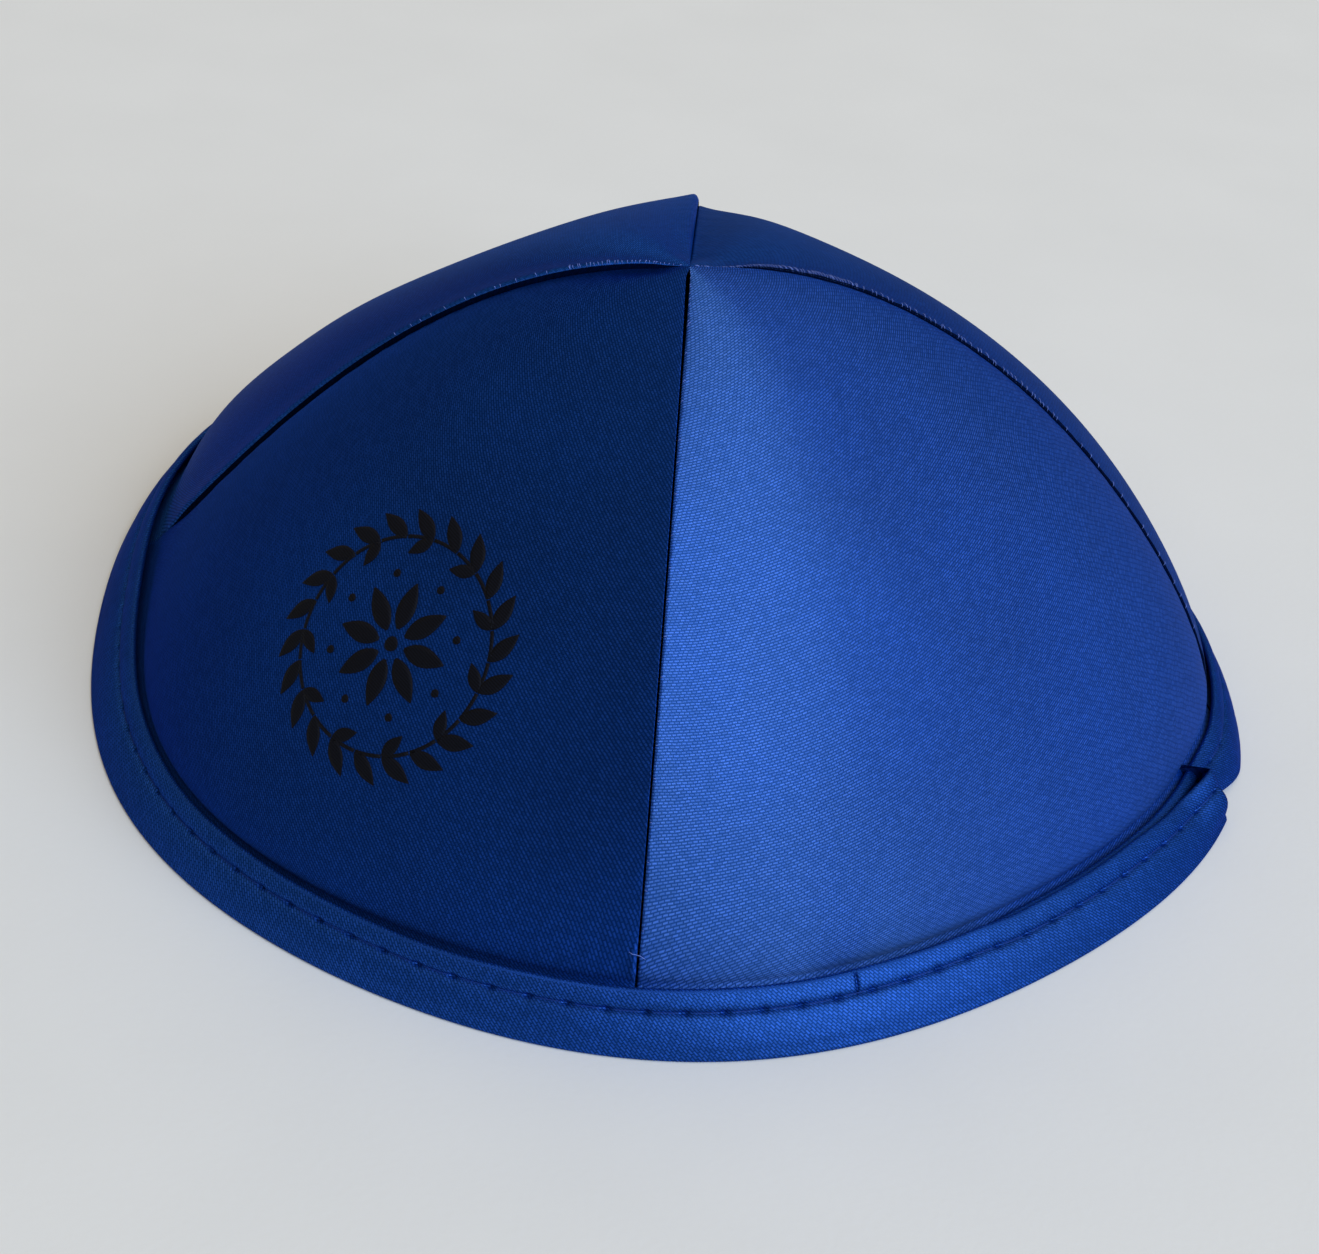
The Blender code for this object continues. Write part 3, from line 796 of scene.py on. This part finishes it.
def makeTape():
    even = np.linspace(1.0, wholeTape - 1.0, tape["sections"])
    even = even[np.abs(even - tape["crossSeam"]) > 0.25]
    travel = np.sort(np.concatenate([endSteps, even, tape["crossSeam"] + crossSteps, wholeTape - endSteps[::-1]]))
    sections = TapeSections(travel)
    at, distTo, outward, floor = sections.at, sections.distTo, sections.outward, sections.floor
    middle, half, wall, rounding = sections.middle, sections.half, cap["tapeWall"], tape["foldRound"]
    length = runAlong(at(middle, distTo(middle, 0.5 * cap["tapeRise"])))
    loop = [sections.facePoint(share, length) for share in faceShares]
    # the fold on the table
    outerFace, outerSlot = middle + half, middle - half
    innerMiddle = -cap["panelWall"] - cap["slotGap"] - sections.shift - 0.5 * wall
    innerFace, innerSlot = innerMiddle - half, innerMiddle + half
    low = floor + 0.5 * wall * (1.0 - sections.wallShare)
    keel = at(outerFace, distTo(outerFace, low))
    flatStart = keel - outward * rounding
    innerKeel = at(innerFace, distTo(innerFace, low))
    flatEnd = innerKeel + outward * 0.6 * rounding
    loop += curve(loop[-1], keel, flatStart, 4)
    loop += [flatStart, 0.5 * (flatStart + flatEnd), flatEnd]
    lowDist = distTo(innerFace, floor + 0.6 * rounding)
    loop += curve(flatEnd, innerKeel, at(innerFace, lowDist), 3)
    # up the inside, over its edge and down to the bottom of the slot
    edgeDist = distTo(innerMiddle, sections.bend[:, 2] - 0.3 * mm) + 0.5 * wall
    line, (below, above), (depth, width, tall) = tape["insideLine"], tape["insideBelly"], tape["insideGroove"]
    for share in insideShares:
        upward = 1.0 - share
        swell = (below * np.sin(np.pi * np.clip(upward / line, 0, 1))
                 + above * np.sin(np.pi * np.clip((upward - line) / (1 - line), 0, 1))
                 - depth * bell((upward - line) * tall, width))
        loop.append(at(innerFace - swell * sections.wallShare, lowDist + (edgeDist - lowDist) * share))
    for angle in np.radians((30, 60, 90, 120, 150)):
        loop.append(at(innerMiddle - half * math.cos(angle), edgeDist - 0.5 * wall * math.sin(angle)))
    slotLow = distTo(innerSlot, floor + wall)
    loop += [at(innerSlot, edgeDist + (slotLow - edgeDist) * share) for share in (0.0, 0.93)]
    bottomIn, bottomOut = at(innerSlot, slotLow), at(outerSlot, distTo(outerSlot, floor + wall))
    loop += [bottomIn + outward * 0.3 * mm, 0.5 * (bottomIn + bottomOut), bottomOut - outward * 0.3 * mm]
    # up the slot's outer side and over the upper edge
    edge = sections.drop + 0.5 * wall
    slotLow = distTo(outerSlot, floor + wall)
    for share in (0.9, 0.45, 0.15):
        away = sections.lean(share) * smooth(1.5 - share)
        loop.append(at(outerSlot + away, edge + (slotLow - edge) * share))
    for angle in np.radians((0, 30, 60, 90, 120, 150)):
        away = sections.lean(0.0) - half * math.cos(angle)
        loop.append(at(middle + away, edge - 0.5 * wall * math.sin(angle)))
    grid = np.stack(loop, axis=1)
    # the weave's map leaves out the needle dips: each line of it is evened out along the tape
    reach = 22
    kernel = np.ones(2 * reach + 1) / (2 * reach + 1)
    padded = np.pad(runAlong(grid, axis=1), ((reach, reach), (0, 0)), mode="edge")
    girth = np.array([np.convolve(column, kernel, mode="valid") for column in padded.T]).T
    uv = np.stack([np.broadcast_to(length[:, None], girth.shape), girth], axis=-1).reshape(-1, 2)
    thing = makePiece("satin_rim_tape", grid.reshape(-1, 3).tolist(), ringFaces(*grid.shape[:2]), uv, ["tape"])
    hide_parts("rim_binding")
    print("tape folded:", len(thing.data.polygons), "faces,", round(float(length[-1]) * 1000), "mm long")
    return thing, travel, length


tapePiece, tapeTravel, tapeRun = makeTape()

# A stitch's thread, along it as shares of its length and off the cloth's face
stitchShares = np.array((0.0, 0.05, 0.14, 0.3, 0.5, 0.7, 0.86, 0.95, 1.0))
stitchHeights = np.array((-0.40, -0.16, -0.03, 0.0, 0.01, 0.0, -0.03, -0.16, -0.40)) * mm


def makeStitches():
    start, end = np.interp((cap["lapEnd"] - cap["lapStart"] + 1.0, wholeTape - 0.8), tapeTravel, tapeRun)
    rng = np.random.default_rng(12)
    paths = []
    for i in range(math.ceil(start / tape["stitch"]), math.floor(end / tape["stitch"])):
        a, b = i * tape["stitch"] + tape["threadFrom"], (i + 1) * tape["stitch"] - tape["threadFrom"]
        distances = a + (b - a) * stitchShares
        travel = np.interp(distances, tapeRun, tapeTravel)
        line = stitchLine(cap["lapStart"] + travel) + rng.uniform(-tape["threadStray"], tape["threadStray"])
        paths.append(TapeSections(travel).facePoint(line, distances, stitchHeights))
    thing = tubes("rim_stitches", paths, tape["threadRadius"], 6, "thread")
    print("stitches:", len(paths))
    return thing


stitches = makeStitches()

# Loose ends of the cloth and thread along the seams

fringes = [
    # panel, side of it, from and to along the seam (mm), spacing (mm), length (mm), seed
    ("satin_back_right", 0, 1.0, 24.0, 0.40, (1.3, 1.9), 31),
    ("satin_back_right", 0, 24.0, 60.0, 0.95, (0.7, 1.4), 32),
    ("satin_back_right", 0, 60.0, 100.0, 2.6, (0.4, 0.8), 33),
    ("satin_back_left", 1, 1.5, 16.0, 0.55, (0.4, 0.9), 34),
    ("satin_back_left", 1, 16.0, 44.0, 2.2, (0.3, 0.6), 35),
    ("satin_front_right", 0, 1.5, 14.0, 1.3, (0.3, 0.6), 37),
    ("satin_front_right", 0, 14.0, 96.0, 4.4, (0.25, 0.45), 36),
]
whisker = {
    "radius": 0.045 * mm,
    "from": 0.05 * mm,  # from the seam
    "slant": (-0.50, -0.10),  # of its length, along the seam
    "shares": np.array((0.0, 0.35, 0.7, 1.0)),
    "heights": np.array((0.0, 0.10, 0.14, 0.10)) * mm,
    "centre": np.array((0.0, 0.0, -0.03)),  # whiskers stand away from this point
    "tick": 0.955,  # share of the front seam where a thread's end crosses it
}


def besideSeam(name, side, along, distance):
    # Points of a panel's face, at distances from a seam and along it from the apex, in metres
    grid = panelFaces[name] if side == 0 else panelFaces[name][::-1]
    flap, near = len(sewing["turnIn"]), len(sewing["beside"])
    strip = grid[flap:flap + near]
    run = runAlong(strip[0])
    rows = np.interp(along, run, np.arange(len(run)))
    columns = np.interp(distance, np.array(sewing["beside"]) * mm, np.arange(near))
    r, c = np.minimum(rows.astype(int), len(run) - 2), np.minimum(columns.astype(int), near - 2)
    a, b = (rows - r)[:, None], (columns - c)[:, None]
    return ((strip[c, r] * (1 - b) + strip[c + 1, r] * b) * (1 - a)
            + (strip[c, r + 1] * (1 - b) + strip[c + 1, r + 1] * b) * a)


def makeFringes():
    paths = []
    for name, side, start, stop, spacing, lengths, seed in fringes:
        rng = np.random.default_rng(seed)
        for along in np.arange(start, stop, spacing):
            at = (along + rng.uniform(-0.35, 0.35) * spacing) * mm
            length = rng.uniform(*lengths) * mm
            slant = rng.uniform(*whisker["slant"]) * length
            shares = whisker["shares"]
            points = besideSeam(name, side, at + slant * shares, whisker["from"] + length * shares)
            paths.append(points + unit(points - whisker["centre"]) * whisker["heights"][:, None])
    edge = panelFaces["satin_front_left"][-1 - len(sewing["turnIn"])][:-sewing["footRows"]]
    at = runAlong(edge)[-1] * whisker["tick"]
    shares = np.array((1.0, 0.6, 0.2))
    left = besideSeam("satin_front_left", 1, at - 0.5 * mm * shares, 1.1 * mm * shares)
    right = besideSeam("satin_front_right", 0, at + 0.4 * mm * shares[::-1], 0.8 * mm * shares[::-1])
    points = np.concatenate([left, right])
    paths.append(points + unit(points - whisker["centre"]) * 0.10 * mm)
    thing = tubes("seam_whiskers", paths, whisker["radius"], 5, "whisker")
    print("seam whiskers:", len(paths))


makeFringes()

# The printed ornament: a small wreath with a rosette. Its sizes are in mm.

ornament = {
    "across": 0.62, "down": 0.563,  # its middle on the panel, as shares
    "turn": -12.0,  # degrees
    "wreath": 14.0,  # radius of its stem
    "stem": 0.48,  # width of it
    "leaves": 22,
    "leaf": (5.2, 2.1),  # length and width
    "innerLeaf": (3.9, 1.785),
    "leafAngles": (-38.0, 42.0),  # from the stem: outer and inner leaves
    "petals": 8,
    "petal": (6.4, 2.7),
    "petalFrom": 1.9,
    "dots": (9.2, 1.1),  # radius of their ring, and size
    "eye": 2.0,
    "ink": (0.05 * mm, -0.05 * mm),  # faces of the print, above and below the cloth's face
    "startOff": 12.0 * mm,  # height from which its points are dropped on the cloth
}


def inkPrinted(name):
    # Screen printed ink, black and matt: it sinks between the threads, so the weave shows through
    material, tree = newMaterial(name)
    wavePeriod = 0.31416  # the wave texture repeats each 2 pi / 20 at a scale of 1
    place = addNode(tree, "UVMap", uv_map="clothMap")
    rows = addNode(tree, "Mapping", {"Scale": (1000.0, 1000.0, 1.0), "Vector": place})
    ribs = addNode(tree, "TexWave", {"Scale": wavePeriod / satinLook["rib"], "Distortion": 1.0, "Detail": 1.0,
                                     "Vector": rows}, wave_type="BANDS", bands_direction="Y",
                   wave_profile="SIN").outputs["Fac"]
    twoTones(tree, ("#020308", "#0a0d18"), ribs, (0.25, 0.05 * mm), ribs,
             {"Roughness": 0.65, "Specular IOR Level": 0.12})
    return material


def polar(radius, degrees):
    return radius * math.cos(math.radians(degrees)), radius * math.sin(math.radians(degrees))


def blade(place, angle, length, width, power, steps=10, lanes=5):
    # A flat leaf, petal or dot: points of a small grid
    t = np.linspace(0.02, 0.98, steps)[:, None]
    w = np.linspace(-1.0, 1.0, lanes)[None, :]
    x = t * length + 0.0 * w
    y = 0.5 * width * w * np.sin(np.pi * t ** 0.85) ** power
    c, s = polar(1.0, angle)
    return np.stack([place[0] + x * c - y * s, place[1] + x * s + y * c], axis=-1)


def ornamentShapes():
    shapes = []
    leafStep, petalStep = 360.0 / ornament["leaves"], 360.0 / ornament["petals"]
    outer, inner = ornament["leafAngles"]
    for i in range(ornament["leaves"]):
        angle = leafStep * i
        place = polar(ornament["wreath"], angle)
        shapes.append(blade(place, angle + 90.0 + outer, *ornament["leaf"], 1.0))
        if i % 2:
            shapes.append(blade(place, angle + 90.0 + inner, *ornament["innerLeaf"], 1.0))
        arc = np.radians(np.linspace(angle + 0.4, angle + leafStep - 0.4, 6))[:, None]
        ring = ornament["wreath"] + ornament["stem"] * np.array((0.5, 0.0, -0.5))
        shapes.append(np.stack([ring * np.cos(arc), ring * np.sin(arc)], axis=-1))
    ringRadius, dot = ornament["dots"]
    for i in range(ornament["petals"]):
        angle = petalStep * (i + 0.5)
        shapes.append(blade(polar(ornament["petalFrom"], angle), angle, *ornament["petal"], 0.9))
        x, y = polar(ringRadius, angle + 0.5 * petalStep)
        shapes.append(blade((x - 0.5, y), 0.0, dot, dot, 0.55, 8, 4))
    shapes.append(blade((-0.5 * ornament["eye"], 0.0), 0.0, ornament["eye"], ornament["eye"], 0.55, 9, 5))
    return shapes


def makeOrnament(name):
    panel, grid = panels[name], panelFaces[name]
    faces, frontCount = sheetFaces(*grid.shape[:2])
    surface = BVHTree.FromPolygons(grid.reshape(-1, 3).tolist(), faces[:frontCount].tolist())
    across, down = ornament["across"], ornament["down"]
    at, below, beside = [panelPoint(panel, np.array(across + a), np.array(down + b))
                         for a, b in ((0.0, 0.0), (0.0, 0.01), (0.01, 0.0))]
    up = unit(at - below)
    outward = unit(np.cross(beside - at, up))
    right = np.cross(up, outward)
    c, s = polar(1.0, ornament["turn"])
    right, up = right * c + up * s, up * c - right * s
    points, quads, uv = [], [], []
    for shape in ornamentShapes():
        layers = [[], []]
        for x, y in shape.reshape(-1, 2) * mm:
            start = at + right * x + up * y + outward * ornament["startOff"]
            hit, normal, _, _ = surface.ray_cast(Vector(start), Vector(-outward))
            for layer, offset in zip(layers, ornament["ink"]):
                layer.append(tuple(hit + normal * offset))
        quads += (sheetFaces(*shape.shape[:2])[0][:, ::-1] + len(points)).tolist()
        points += layers[0] + layers[1]
        uv += (shape.reshape(-1, 2) * mm).tolist() * 2
    thing = makePiece("ink_ornament", points, quads, np.array(uv), ["ink"])
    print("ornament printed:", len(quads), "faces")


materials["ink"] = inkPrinted("screenPrintInkBlack")
makeOrnament("satin_front_left")
